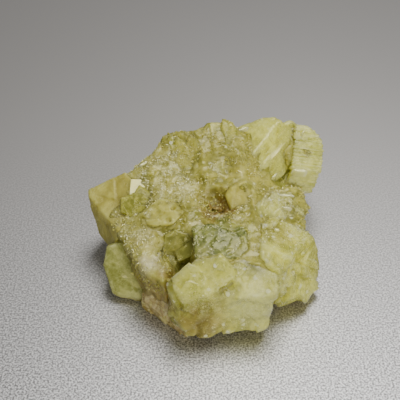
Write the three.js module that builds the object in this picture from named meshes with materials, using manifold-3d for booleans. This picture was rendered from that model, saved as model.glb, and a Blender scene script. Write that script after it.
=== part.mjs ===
// A cluster of brazilianite, a yellow-green phosphate mineral, that would fill the palm of a hand. It
// rests on the flat face where it was cut from its vein. Units are millimetres, +Z is up and the
// cluster's front faces -Y.
//
// Blocky and prismatic crystals grow from one massive, sugary ground. Every crystal is a convex
// polyhedron: six main faces, cut back by smaller faces that are named by three indices, in the way
// that crystallographers name them, and by a few flat breaks. Crystals that grew through each other
// are joined in one solid. Crystals that only touch keep to their own sides of a contact face.

import * as THREE from 'three';
import { ConvexGeometry } from 'three/addons/geometries/ConvexGeometry.js';
import { mergeVertices } from 'three/addons/utils/BufferGeometryUtils.js';
import Module from 'manifold-3d';

const wasm = await Module();
wasm.setup();

// ---- driving dimensions ----

const CONTACT_GAP = 0.3; // between two crystals that meet
const MONOCLINIC_LEAN = THREE.MathUtils.degToRad(7.4); // brazilianite's beta angle is 97.4 degrees
const ON_A_FACE = 1e-7; // how far past a face a corner may lie and still count as on it
const SAME_CORNER = 1e-4; // corners closer than this are one corner

// ---- one crystal ----

const MAIN_FACES = [
  [1, 0, 0, 1], [-1, 0, 0, 1],
  [0, 1, 0, 1], [0, -1, 0, 1],
  [0, 0, 1, 1], [0, 0, -1, 1],
];

// A crystal lies with its length along `runs` and its best face towards `looks`; `top` is the
// centre of that face. `size` is length, width and depth. Each entry of `faces` is [h, k, l, reach]:
// a face square to h lengths, k widths and l depths, at `reach` half-sizes from the middle. Each entry
// of `breaks` is a flat break: a point on it, then the way it faces.
function crystalFaces({ top, looks, runs, size, faces = [], breaks = [] }) {
  const up = new THREE.Vector3(...looks).normalize();
  const along = new THREE.Vector3(...runs);
  along.addScaledVector(up, -along.dot(up)).normalize();
  const across = new THREE.Vector3().crossVectors(up, along);
  const lean = up.clone().addScaledVector(along, -Math.tan(MONOCLINIC_LEAN) / 2);
  const [length, width, depth] = size.map((s) => s / 2);
  const cell = new THREE.Matrix3().set(
    along.x * length, across.x * width, lean.x * depth,
    along.y * length, across.y * width, lean.y * depth,
    along.z * length, across.z * width, lean.z * depth,
  );
  const middle = new THREE.Vector3(...top).addScaledVector(lean, -depth);
  const squareTo = cell.clone().invert().transpose();
  const grown = [...MAIN_FACES, ...faces].map(([h, k, l, reach]) => {
    const normal = new THREE.Vector3(h, k, l).applyMatrix3(squareTo);
    const distance = reach / normal.length();
    normal.normalize();
    return { normal, distance: distance + normal.dot(middle) };
  });
  const broken = breaks.map(([point, facing]) => {
    const normal = new THREE.Vector3(...facing).normalize();
    return { normal, distance: normal.dot(new THREE.Vector3(...point)) };
  });
  return [...grown, ...broken];
}

// The corners where three faces meet and no other face cuts off, each face moved out by `margin`.
function corners(faces, margin) {
  const found = [];
  const reach = faces.map((face) => face.distance + margin);
  const inside = (p) => faces.every((face, i) => face.normal.dot(p) <= reach[i] + ON_A_FACE);
  for (let i = 0; i < faces.length; i++) {
    for (let j = i + 1; j < faces.length; j++) {
      for (let k = j + 1; k < faces.length; k++) {
        const [a, b, c] = [faces[i].normal, faces[j].normal, faces[k].normal];
        const bc = new THREE.Vector3().crossVectors(b, c);
        const ca = new THREE.Vector3().crossVectors(c, a);
        const ab = new THREE.Vector3().crossVectors(a, b);
        const spread = a.dot(bc);
        const p = bc.multiplyScalar(reach[i]);
        p.addScaledVector(ca, reach[j]);
        p.addScaledVector(ab, reach[k]);
        p.divideScalar(spread);
        if (Number.isFinite(p.x) && inside(p)) found.push(p);
      }
    }
  }
  return found;
}

// ---- solids ----

function solidOf(points) {
  const hull = new ConvexGeometry(points);
  hull.deleteAttribute('normal');
  hull.deleteAttribute('uv');
  const welded = mergeVertices(hull, SAME_CORNER);
  return new wasm.Manifold(new wasm.Mesh({
    numProp: 3,
    vertProperties: welded.attributes.position.array,
    triVerts: new Uint32Array(welded.index.array),
  }));
}

const union = (solids) => solids.reduce((a, b) => a.add(b));
const crystal = (habit, margin = 0) => solidOf(corners(crystalFaces(habit), margin));
const lump = (points) => solidOf(points.map((p) => new THREE.Vector3(...p)));
const largestPiece = (solid) => solid.decompose().sort((a, b) => b.volume() - a.volume())[0];
const aboveTheCut = (solid) => solid.trimByPlane([0, 0, 1], 0);

function meshOf(name, solid, { color, roughness }) {
  const { vertProperties, triVerts } = solid.getMesh();
  const geometry = new THREE.BufferGeometry();
  geometry.setAttribute('position', new THREE.BufferAttribute(new Float32Array(vertProperties), 3));
  geometry.setIndex(new THREE.BufferAttribute(new Uint32Array(triVerts), 1));
  const material = new THREE.MeshStandardMaterial({ color, roughness, metalness: 0 });
  const mesh = new THREE.Mesh(geometry, material);
  mesh.name = name;
  return mesh;
}

// ---- the crystals, each with its look and the crystals that grew through each other to make it ----

const crystals = {
  // two blocks grown into each other at the very front, the milky right one with the steeper top
  front_block_crystals: {
    look: { color: 0xbab482, roughness: 0.35 },
    habits: [
      { top: [0.3, -17.6, 6], looks: [-0.02, -1, -0.03], runs: [0, 0, 1], size: [20, 10.4, 10],
        breaks: [
          [[0.5, -15.1, 14.3], [-0.12, -0.5, 0.86]], [[-4.2, -16.4, 12], [-0.75, -0.66, -0.1]],
          [[-2.5, -13.8, 14], [-0.5, 0.86, 0]], [[1, -12.6, 15], [0, 1, 0.1]],
          [[4.5, -13.7, 15], [0.7, 0.7, 0]], [[3.2, -17.4, 12], [0.6, -0.8, -0.05]],
        ] },
      { top: [8, -16.9, 6], looks: [0, -1, -0.1], runs: [0, 0, 1], size: [20, 10.2, 12],
        breaks: [
          [[9, -15.6, 13.3], [0.04, -0.76, 0.65]], [[7, -13.5, 15], [-0.4, 0.9, 0]],
          [[9.8, -14.1, 15], [0.3, 0.95, 0]], [[12.9, -16.5, 11.5], [0.97, -0.1, -0.22]],
          [[11.8, -17.2, 10.5], [0.6, -0.8, -0.2]],
        ] },
    ],
  },
  // the clear green crystal low on the left corner
  green_corner_crystal: {
    look: { color: 0x908b4e, roughness: 0.15 },
    habits: [
      { top: [-13.2, -7.6, 5.1], looks: [-0.16, -0.84, 0.52], runs: [0.29, -0.54, -0.79], size: [12, 7, 8],
        faces: [[-1, -1, 0, 1.5], [1, 1, 0, 1.1], [1, -0.2, 0, 1], [0, -1, -1, 1.5]] },
    ],
  },
  // the flat yellow plate that juts out to the left
  left_plate_crystal: {
    look: { color: 0xa59b63, roughness: 0.4 },
    habits: [
      { top: [-16.2, 3, 13.6], looks: [-0.25, -0.28, 0.93], runs: [0.6, -0.79, -0.08],
        size: [11.2, 10.4, 8],
        faces: [[-1, 0.3, 0, 0.8], [1, 0.7, 0, 0.68]],
        breaks: [[[-16.5, -0.6, 12], [-0.8, -0.6, 0.15]], [[-20.4, 5.4, 13], [-1, 0, -0.3]]] },
    ],
  },
  // the hexagonal slab with small dark pits in it
  slab_crystal: {
    look: { color: 0xb4ab73, roughness: 0.35 },
    habits: [
      { top: [-6.3, -1.3, 15.3], looks: [-0.11, -0.44, 0.89], runs: [0.99, -0.05, 0.1],
        size: [7.7, 4.3, 5],
        faces: [
          [-1, 0.4, 0, 0.85], [-1, 0.6, 0, 0.95], [1, 0.4, 0, 1.1],
          [1, -0.55, 0, 0.9], [-1, -0.6, 0, 1.25],
        ] },
    ],
  },
  // the bright little crystal between the plate and the slab
  small_glassy_crystal: {
    look: { color: 0xb5ae6f, roughness: 0.15 },
    habits: [
      { top: [-10.8, 2, 14], looks: [0.18, -0.68, 0.71], runs: [0.55, 0.66, 0.5], size: [5, 3.8, 4],
        faces: [[1, -1, 0, 1.5]],
        breaks: [[[-11.3, 4, 16.2], [-0.38, -0.49, 0.78]]] },
    ],
  },
  // the tan prism that leans over the brown pocket
  tan_prism_crystal: {
    look: { color: 0xb9aa6f, roughness: 0.35 },
    habits: [
      { top: [7.3, 0.9, 16.1], looks: [0.04, -0.78, 0.62], runs: [-0.38, 0.57, 0.73], size: [5.2, 4, 6],
        faces: [[1, 0.4, 0, 1.1], [-0.65, -1, 0, 0.9], [-1, -1, 0, 1.1]] },
    ],
  },
  // three prisms grown side by side, at the top right
  upper_prism_crystals: {
    look: { color: 0xb7ac70, roughness: 0.25 },
    habits: [
      { top: [9.7, 16, 18.4], looks: [-0.24, -0.16, 0.96], runs: [0.59, 0.76, 0.27], size: [10.7, 6.4, 8],
        faces: [[1, 0.77, 0, 0.86], [1, 0.32, 0, 0.83], [-1, 0.7, 0, 0.86]] },
      { top: [13.9, 14.3, 17.7], looks: [0.22, -0.44, 0.87], runs: [0.62, 0.75, 0.22],
        size: [12.7, 3.6, 4],
        faces: [[1, 1, 0, 1.3]],
        breaks: [[[17.4, 19.2, 18.8], [0.4, 0.9, 0.1]]] },
      { top: [15.8, 12.9, 15], looks: [0.62, -0.67, 0.42], runs: [0.66, 0.73, 0.19], size: [12.2, 4.6, 8],
        faces: [[1, -0.3, 0, 0.75], [0.2, -1, 0, 0.94], [-0.4, -1, 0, 1.1]] },
    ],
  },
  // the striated crystal that overhangs at the far right
  striated_end_crystal: {
    look: { color: 0xbab786, roughness: 0.2 },
    habits: [
      { top: [20.5, 13, 15], looks: [0.24, -0.64, 0.73], runs: [0.1, 0.76, 0.64], size: [12, 5.4, 8],
        faces: [[1, -0.3, 0, 0.92], [0.7, -1, 0, 1.3], [-1, -0.1, 0.63, 1]] },
    ],
  },
  // the two steep crystals at the top of the cluster
  peak_crystals: {
    look: { color: 0xa69c66, roughness: 0.35 },
    habits: [
      { top: [-3.2, 11, 18.5], looks: [-0.24, -0.41, 0.88], runs: [-0.29, 0.89, 0.34], size: [7.4, 6.4, 9],
        faces: [[1, -1, 0, 1.55], [-0.75, -1, 0, 1.2], [-1, 0.85, 0, 1.25]] },
      { top: [3.6, 9.5, 18.9], looks: [0.05, -0.39, 0.92], runs: [-0.2, 0.9, 0.4], size: [13.4, 7.8, 9],
        faces: [
          [1, 0.5, 0, 1.1], [1, -0.2, 0, 1.05], [0.75, -1, 0, 1.5], [-0.6, -1, 0, 1.1], [-1, 0.6, 0, 1.1],
        ] },
    ],
  },
  // the frosted crystal on the right, under the overhang
  right_frosted_crystal: {
    look: { color: 0xc0bb90, roughness: 0.45 },
    habits: [
      { top: [15.2, 1.3, 13.6], looks: [0.5, -0.33, 0.8], runs: [0.83, 0.32, -0.45], size: [11, 5.4, 9],
        faces: [[1, 0.5, 0, 1.2], [1, -0.5, 0, 0.85], [0.2, -1, 0, 0.7], [-1, 1, 0, 1.3]] },
    ],
  },
  // the broad right side: a flat top grown into a tall steep crystal
  right_block_crystals: {
    look: { color: 0xaea86d, roughness: 0.35 },
    habits: [
      { top: [13.9, -5.7, 14.2], looks: [0.41, -0.06, 0.91], runs: [0.46, 0.88, -0.15],
        size: [14.8, 7.2, 10],
        faces: [[1, 0.4, 0, 0.4], [0.9, 1, 0, 0.7], [1, -0.5, 0, 1.1], [-1, 0.9, 0, 0.95]] },
      { top: [17.9, -8.8, 6.8], looks: [0.74, -0.63, 0.23], runs: [0.28, 0, -0.96], size: [14.4, 10.6, 12],
        faces: [[-1, 0.3, 0, 0.95], [0.9, 1, 0, 1]],
        breaks: [[[16.5, -10.2, 1.5], [0.2, -1, -0.35]], [[20.9, -8.4, 2], [1, -0.1, -0.2]]] },
    ],
  },
  // the etched block in the middle, with a sheer left side
  frosted_middle_crystal: {
    look: { color: 0xa8a77a, roughness: 0.5 },
    habits: [
      { top: [3.6, -8.1, 14.9], looks: [-0.04, -0.13, 0.99], runs: [1, 0.1, 0.05], size: [9, 7.4, 9],
        faces: [[1, 1, 0, 1.5], [1, -1, 0, 1.6]] },
    ],
  },
  // the dark clear crystal at the back of the green pocket
  pocket_crystal: {
    look: { color: 0x88803e, roughness: 0.12 },
    habits: [
      { top: [-3.4, -6.6, 10.6], looks: [0.11, -0.91, 0.41], runs: [0.26, 0.42, 0.87], size: [7.2, 6.4, 6],
        faces: [[1, 1, 0, 1.6], [-1, 1, 0, 1.4]] },
    ],
  },
  // the pinkish vein rock that still clings to the foot, front left
  feldspar_matrix: {
    look: { color: 0xc4a283, roughness: 0.7 },
    habits: [
      { top: [-6.4, -14, 2.5], looks: [-0.63, -0.76, 0.15], runs: [0.78, -0.62, 0.02], size: [10.5, 6, 6],
        faces: [[-1, 1, 0, 1.4]] },
    ],
  },
};

// ---- the massive ground between them: lumps given by their corners, less the two pockets ----

const groundLook = { color: 0xb7ac88, roughness: 0.6 };

const groundLumps = {
  foot: [
    [-9, -8, 0], [-6, -13, 0], [3, -15, 0], [11, -14.5, 0], [16, -9, 0], [18.5, -3, 0], [18, 8, 0],
    [12, 17, 0], [0, 17, 0], [-8, 12, 0], [-12, 2, 0], [-9, -7, 8], [-5, -11, 6], [10, -13, 9],
    [16, -3, 10], [14, 10, 10], [0, 15, 12], [-9, 8, 11],
  ],
  ridge: [
    [-16, -0.7, 11.8], [-14.8, -2.9, 11.6], [-12.3, -5.2, 11.6], [-9.4, -11.7, 11.3], [-6.4, -13.9, 11.3],
    [-5, -9, 11], [-6.5, -4.5, 12.8], [-9, -1, 14], [-12.5, 2, 14], [-12.5, -1, 0], [-10.5, -7, 0],
    [-9, -11, 0], [-5.5, -14.2, 0], [-3, -9, 0], [-6, 0, 0],
  ],
  upper_left: [
    [-14.1, 8, 14.8], [-12, 9.2, 15.8], [-8.6, 10.3, 16.7], [-6.5, 12.5, 17.5], [-4, 9, 17],
    [-3, 1.5, 15.3], [-8, 1, 14.8], [-12.5, 2, 14], [-13.5, 4, 5], [-11, 2, 0],
    [-11, 11, 4], [-5, 14.5, 3], [0, 0, 0],
  ],
  middle: [
    [-6.5, -4, 13.6], [-2.5, -3.2, 14.9], [2.1, -1.6, 14.9], [6.4, -2, 15.1], [10.9, -4, 15.1],
    [11.2, -9.7, 14.8], [9, -12.6, 14.6], [3.4, -11.5, 14], [-0.5, -10, 12.5], [-3, 3, 15.3],
    [-4, -4, 0], [10, 0, 0], [12, -12, 0], [0, -12, 0],
  ],
  rear: [
    [-4, 12, 17], [-3, 15, 15.5], [4, 17, 16.5], [6, 13, 17.5], [14, 16.5, 15], [16, 14, 13],
    [18, 10, 9.5], [12, 3, 14.5], [-2, 3, 15.3], [-6, 15.5, 6], [3, 19.5, 8],
    [13, 18.5, 7], [16, 13, 2], [0, 3, 2],
  ],
  shoulder: [
    [-6.2, 10, 17.6], [-1, 9, 17.6], [0.8, 5.4, 16.6], [-0.4, 2.6, 15.9], [-3.4, 0.8, 15.7],
    [-7.4, 1.6, 15.6], [-10, 5, 16], [-3, 12, 12], [2, 8, 10], [-9, 2, 10], [-2, 0, 10],
  ],
  right: [
    [9, 3.5, 15.2], [15, 6.5, 13], [18.5, 9, 8], [19, 4, 10], [18.7, -1.5, 11.6], [10, -4, 15.2],
    [17, 10, 1], [19.5, -2, 2], [17, -8, 1], [0, 0, 1],
  ],
};

const pockets = {
  brown: [
    [1.2, 3.8, 18], [5.8, 3.8, 18], [6, -0.6, 16], [1.8, -1, 16], [3, 2.6, 10.5], [4.6, 1.4, 10.5],
  ],
  green: [
    [-6.6, -4.6, 16], [-0.8, -4.6, 16], [-0.9, -11.5, 16], [-5.4, -13, 16], [-5.8, -6.5, 9],
    [-1.4, -6.5, 8], [-1.6, -11.4, 8], [-4.6, -12, 8.5],
  ],
};

// ---- the cluster: each piece is cut clear of the crystals that it touches, then cut flat below ----

const cluster = new THREE.Group();
const touching = [];

function addPiece(name, solid, look) {
  const cleared = touching.reduce((rest, habits) => (
    rest.subtract(union(habits.map((habit) => crystal(habit, CONTACT_GAP))))
  ), solid);
  cluster.add(meshOf(name, aboveTheCut(largestPiece(cleared)), look));
}

for (const [name, { look, habits }] of Object.entries(crystals)) {
  addPiece(name, union(habits.map((habit) => crystal(habit))), look);
  touching.push(habits);
}
const lumps = union(Object.values(groundLumps).map(lump));
const hollows = union(Object.values(pockets).map(lump));
addPiece('ground_mass', lumps.subtract(hollows), groundLook);

// The origin is the centre of the flat cut, under the middle of the cluster.
const extent = new THREE.Box3().setFromObject(cluster);
const middle = extent.getCenter(new THREE.Vector3());
cluster.position.set(-middle.x, -middle.y, -extent.min.z);

export default cluster;
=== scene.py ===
# %% [markdown]
# # A brazilianite cluster
#
# Brazilianite is a yellow-green phosphate mineral. Its crystals are blocks and short prisms that
# crowd together on a sugary ground of the same mineral. In the imported model each crystal, or each
# few that grew through one another, is one solid with flat faces. This lesson keeps those faces
# where they are, within a millimetre or two, and adds what the flat solids lack: stepped growth,
# frost, clouds, stains, some painted shade and light, and a glow from within.

# %% Load the imported model, which fixes every crystal's place
from math import radians

import bmesh
import bpy
import numpy as np
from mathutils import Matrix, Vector
from mathutils.bvhtree import BVHTree


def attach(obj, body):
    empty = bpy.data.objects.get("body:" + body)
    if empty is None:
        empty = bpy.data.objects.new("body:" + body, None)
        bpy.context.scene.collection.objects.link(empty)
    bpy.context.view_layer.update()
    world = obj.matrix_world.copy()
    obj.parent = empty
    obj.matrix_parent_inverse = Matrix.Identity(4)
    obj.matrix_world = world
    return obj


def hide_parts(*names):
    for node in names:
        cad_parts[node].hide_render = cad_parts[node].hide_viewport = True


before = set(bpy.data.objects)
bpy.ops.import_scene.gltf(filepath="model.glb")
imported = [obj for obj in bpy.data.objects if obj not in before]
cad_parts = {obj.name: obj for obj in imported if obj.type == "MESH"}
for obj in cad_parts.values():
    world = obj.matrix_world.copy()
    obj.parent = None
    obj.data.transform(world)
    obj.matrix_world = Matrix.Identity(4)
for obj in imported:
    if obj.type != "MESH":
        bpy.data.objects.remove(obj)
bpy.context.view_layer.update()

MM = 0.001

# %% [markdown]
# ## Camera, floor and light
#
# The cluster lies on a bright satin sheet and is seen from above the front, at 45 degrees, with a
# short telephoto lens. The light is weak and the sheet is bright: light goes deep into the stone
# and comes out of every side of it, so that a front face is nearly as bright as a top; on the milky
# front block a painted lightening adds to this. One soft lamp hangs overhead, a little to the right
# and behind, and a weaker one stands at the right front.

# %% Camera
AIM = Vector((-1.43, 5.22, 9.0)) * MM
CAMERA_DISTANCE = 170 * MM
CAMERA_HEIGHT_ANGLE = radians(45)

camera_data = bpy.data.cameras.new("camera")
camera_data.lens = 80
camera_data.clip_start = 10 * MM
camera = bpy.data.objects.new("camera", camera_data)
camera.rotation_euler = (radians(90) - CAMERA_HEIGHT_ANGLE, 0, 0)
towards_camera = camera.rotation_euler.to_matrix() @ Vector((0, 0, 1))
camera.location = AIM + towards_camera * CAMERA_DISTANCE
bpy.context.scene.collection.objects.link(camera)
bpy.context.scene.camera = camera
print("camera at", [round(c / MM) for c in camera.location], "mm")

# %% Lights
def softbox(name, place, side, watts):
    lamp_data = bpy.data.lights.new(name, "AREA")
    lamp_data.size = side
    lamp_data.energy = watts
    lamp = bpy.data.objects.new(name, lamp_data)
    lamp.location = place
    lamp.rotation_euler = (AIM - Vector(place)).to_track_quat("-Z", "Y").to_euler()
    bpy.context.scene.collection.objects.link(lamp)


softbox("overhead_lamp", (0.05, 0.09, 0.34), side=0.16, watts=0.84)
softbox("right_front_lamp", (0.13, -0.27, 0.20), side=0.26, watts=0.80)
SKY_STRENGTH = 0.15
world = bpy.data.worlds.new("sky")
world.use_nodes = True
world.node_tree.nodes["Background"].inputs["Color"].default_value = (1.0, 0.99, 0.96, 1)
world.node_tree.nodes["Background"].inputs["Strength"].default_value = SKY_STRENGTH
bpy.context.scene.world = world


# %% [markdown]
# Every node tree below is wired with a few small helpers. `add` makes a node, gives it its
# settings, and either links or fills in each input. The others do one sum, one soft step between
# two values, one mix of two colours, or one noise whose grain is given as a size.

# %% Helpers that wire nodes
def add(tree, kind, given=None, **settings):
    node = tree.nodes.new(kind)
    for key, value in settings.items():
        setattr(node, key, value)
    for slot, value in (given or {}).items():
        if isinstance(value, bpy.types.NodeSocket):
            tree.links.new(value, node.inputs[slot])
        else:
            node.inputs[slot].default_value = value
    return node


def maths(tree, operation, *values, clamp=False):
    return add(tree, "ShaderNodeMath", dict(enumerate(values)), operation=operation,
               use_clamp=clamp).outputs[0]


def times(tree, *values):
    return maths(tree, "MULTIPLY", *values)


def vector_maths(tree, operation, *values):
    node = add(tree, "ShaderNodeVectorMath", dict(enumerate(values)), operation=operation)
    return node.outputs["Value" if operation in ("DOT_PRODUCT", "LENGTH", "DISTANCE") else "Vector"]


def scaled(tree, vector, factor):
    node = add(tree, "ShaderNodeVectorMath", {0: vector, "Scale": factor}, operation="SCALE")
    return node.outputs["Vector"]


def parts_of(tree, vector):
    return add(tree, "ShaderNodeSeparateXYZ", {0: vector}).outputs


def soft_step(tree, value, low, high):
    given = {"Value": value, "From Min": low, "From Max": high}
    return add(tree, "ShaderNodeMapRange", given, interpolation_type="SMOOTHSTEP", clamp=True).outputs[0]


MIX_FACTOR, MIX_FIRST, MIX_SECOND, MIX_RESULT = 0, 6, 7, 2  # a Mix node's colour sockets


def blend_colour(tree, share, first, second):
    node = add(tree, "ShaderNodeMix", {MIX_FACTOR: share}, data_type="RGBA")
    for slot, value in ((MIX_FIRST, first), (MIX_SECOND, second)):
        if isinstance(value, bpy.types.NodeSocket):
            tree.links.new(value, node.inputs[slot])
        else:
            node.inputs[slot].default_value = (*value, 1)
    return node.outputs[MIX_RESULT]


def noise(tree, where, size, detail=3.0, roughness=0.5, distortion=0.0):
    scale = maths(tree, "DIVIDE", 1.0, size) if isinstance(size, bpy.types.NodeSocket) else 1 / size
    given = {"Vector": where, "Scale": scale, "Detail": detail, "Roughness": roughness,
             "Distortion": distortion}
    return add(tree, "ShaderNodeTexNoise", given).outputs[0]


def new_material(name):
    material = bpy.data.materials.new(name)
    material.use_nodes = True
    tree = material.node_tree
    tree.nodes.clear()
    surface = tree.nodes.new("ShaderNodeBsdfPrincipled")
    output = tree.nodes.new("ShaderNodeOutputMaterial")
    tree.links.new(surface.outputs[0], output.inputs["Surface"])
    return material, tree, surface, output


def object_coordinates(tree):
    return tree.nodes.new("ShaderNodeTexCoord").outputs["Object"]


# %% Floor
floor_material, tree, surface, output = new_material("satin_sheet")
where = object_coordinates(tree)
grain = soft_step(tree, noise(tree, where, 0.34 * MM, detail=1), 0.3, 0.7)
FLOOR_DARK = (0.20, 0.195, 0.19)
FLOOR_MIDDLE = (0.58, 0.56, 0.54)
FLOOR_LIGHT = (0.84, 0.825, 0.81)
grainy = blend_colour(tree, grain, FLOOR_DARK, FLOOR_LIGHT)
# Towards the back the grain fades into one middle tone that is a little lighter on average: a painted
# lightening of the far sheet.
far_fade_and_light = soft_step(tree, parts_of(tree, where)[1], -45 * MM, 45 * MM)
tree.links.new(blend_colour(tree, far_fade_and_light, grainy, FLOOR_MIDDLE), surface.inputs["Base Color"])
surface.inputs["Metallic"].default_value = 0.9
surface.inputs["Roughness"].default_value = 0.5

FLOOR_HALF = 0.6
floor_mesh = bpy.data.meshes.new("floor")
corners = [(-FLOOR_HALF, -FLOOR_HALF, 0), (FLOOR_HALF, -FLOOR_HALF, 0), (FLOOR_HALF, FLOOR_HALF, 0),
    (-FLOOR_HALF, FLOOR_HALF, 0)]
floor_mesh.from_pydata(corners, [], [(0, 1, 2, 3)])
floor_mesh.materials.append(floor_material)
floor = bpy.data.objects.new("floor", floor_mesh)
bpy.context.scene.collection.objects.link(floor)

# %% [markdown]
# ## Surface relief
#
# A real crystal face is flat, but never perfectly. It is broken into smaller faces that each tilt a
# little their own way, and it carries growth lines, a soft waviness, a crust of tiny grains and
# small pits. The flat solid is remeshed into small even quads, and a Geometry Nodes tree moves
# each point along its normal. One tree serves all the crystals, because they differ only in how
# strong each kind of mark is. Low down, the sides swell a little and draw in to the flat cut.

# %% The relief tree
RELIEF_INPUTS = [("Grow Along", "NodeSocketVector", (0, 0, 1)), ("Stretch", "NodeSocketFloat", 1.6),
    ("Facet Size", "NodeSocketFloat", 1.6 * MM), ("Facet Slope", "NodeSocketFloat", 0.13),
    ("Large Slope", "NodeSocketFloat", 0.16), ("Across Lines", "NodeSocketVector", (0, 0, 1)),
    ("Line Height", "NodeSocketFloat", 0.0), ("Line Spacing", "NodeSocketFloat", 0.7 * MM),
    ("Wave Height", "NodeSocketFloat", 0.06 * MM), ("Wave Size", "NodeSocketFloat", 3.0 * MM),
    ("Crust Height", "NodeSocketFloat", 0.07 * MM), ("Crust Size", "NodeSocketFloat", 1.0 * MM),
    ("Frost", "NodeSocketFloat", 0.2), ("Pit Depth", "NodeSocketFloat", 0.0),
    ("Pit Spacing", "NodeSocketFloat", 1.6 * MM), ("Undercut", "NodeSocketFloat", 2.2 * MM),
    ("Bulge", "NodeSocketFloat", 0.0), ("Finish", "NodeSocketMaterial", None)]


def new_geometry_tree(name, inputs):
    tree = bpy.data.node_groups.new(name, "GeometryNodeTree")
    tree.interface.new_socket("Geometry", in_out="INPUT", socket_type="NodeSocketGeometry")
    for label, kind, value in inputs:
        socket = tree.interface.new_socket(label, in_out="INPUT", socket_type=kind)
        if value is not None:
            socket.default_value = value
    tree.interface.new_socket("Geometry", in_out="OUTPUT", socket_type="NodeSocketGeometry")
    return tree, tree.nodes.new("NodeGroupInput").outputs, tree.nodes.new("NodeGroupOutput").inputs


def read_attribute(tree, name):
    return add(tree, "GeometryNodeInputNamedAttribute", {"Name": name}, data_type="FLOAT").outputs[0]


def red_of(tree, colour):
    return parts_of(tree, colour)[0]


def cells(tree, where, size, **settings):
    given = {"Vector": where, "Scale": maths(tree, "DIVIDE", 1.0, size)}
    return add(tree, "ShaderNodeTexVoronoi", given, **settings).outputs


def facet_relief(tree, given, place, coarser, slope):
    """Small flat faces, each tilted its own way, the higher of two neighbours winning; and their tone."""
    along = vector_maths(tree, "DOT_PRODUCT", place, given["Grow Along"])
    shrink = maths(tree, "SUBTRACT", maths(tree, "DIVIDE", 1.0, given["Stretch"]), 1.0)
    drawn = vector_maths(tree, "ADD", place, scaled(tree, given["Grow Along"], times(tree, along, shrink)))
    size = times(tree, given["Facet Size"], coarser)
    planes = []
    for feature in ("F1", "F2"):
        cell = cells(tree, drawn, size, feature=feature)
        tilt = scaled(tree, vector_maths(tree, "SUBTRACT", cell["Color"], (0.5, 0.5, 0.5)), slope)
        offset = vector_maths(tree, "SUBTRACT", drawn, cell["Position"])
        planes.append(vector_maths(tree, "DOT_PRODUCT", tilt, offset))
        if feature == "F1":
            tone = red_of(tree, cell["Color"])
    return maths(tree, "MAXIMUM", *planes), tone


def line_relief(tree, given, place):
    across = vector_maths(tree, "DOT_PRODUCT", place, given["Across Lines"])
    stripe = {"W": maths(tree, "DIVIDE", across, given["Line Spacing"]), "Scale": 1.0, "Detail": 2.0}
    lines = add(tree, "ShaderNodeTexNoise", stripe, noise_dimensions="1D").outputs[0]
    return times(tree, maths(tree, "SUBTRACT", lines, 0.5), given["Line Height"])


def wave_relief(tree, given, place):
    wave = noise(tree, place, given["Wave Size"], detail=2.0)
    return times(tree, maths(tree, "SUBTRACT", wave, 0.5), given["Wave Height"])


def crust_mask(tree, given, place):
    """A crust of grains where frost lies: everywhere a little, and fully where `frosted` was marked."""
    marks = times(tree, read_attribute(tree, "frosted"), 0.5)
    level = maths(tree, "ADD", noise(tree, place, 2.2 * MM, detail=3.0), marks)
    level = maths(tree, "ADD", level, times(tree, given["Frost"], 0.4))
    frost = soft_step(tree, level, 0.66, 0.86)
    crust = noise(tree, place, given["Crust Size"], detail=5.0, roughness=0.65, distortion=0.4)
    return times(tree, frost, soft_step(tree, crust, 0.50, 0.60))


def pit_mask(tree, given, place):
    pits = cells(tree, place, given["Pit Spacing"])
    kept = maths(tree, "GREATER_THAN", red_of(tree, pits["Color"]), 0.6)
    wanted = maths(tree, "GREATER_THAN", given["Pit Depth"], 0.0)
    return times(tree, soft_step(tree, pits["Distance"], 0.24, 0.1), times(tree, kept, wanted))


UNDERCUT_TOP = 2.2 * MM  # the sides draw in below this height
BULGE_AT = 3.0 * MM      # and swell out most at this one
BULGE_TOP = 10 * MM


def rounded_foot(tree, given, place):
    """The sides swell out low down and draw in raggedly to the cut, as a broken lump does."""
    height = parts_of(tree, place)[2]
    ragged = noise(tree, place, 3.0 * MM, detail=2.0)
    inward = times(tree, soft_step(tree, height, UNDERCUT_TOP, 0.0), given["Undercut"])
    inward = times(tree, inward, times(tree, ragged, 2.0))
    swell = times(tree, soft_step(tree, height, 0.0, BULGE_AT), soft_step(tree, height, BULGE_TOP, BULGE_AT))
    swell = times(tree, times(tree, swell, given["Bulge"]),
                  maths(tree, "MULTIPLY_ADD", ragged, 1.2, 0.4))
    outward = vector_maths(tree, "NORMALIZE", vector_maths(tree, "MULTIPLY", place, (1.0, 1.0, 0.0)))
    return scaled(tree, outward, maths(tree, "SUBTRACT", swell, inward))


def resting(tree, place):
    """Nothing hangs below the flat cut."""
    parts = parts_of(tree, place)
    lifted = maths(tree, "MAXIMUM", parts[2], 0.0)
    return add(tree, "ShaderNodeCombineXYZ", {0: parts[0], 1: parts[1], 2: lifted}).outputs[0]


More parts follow.
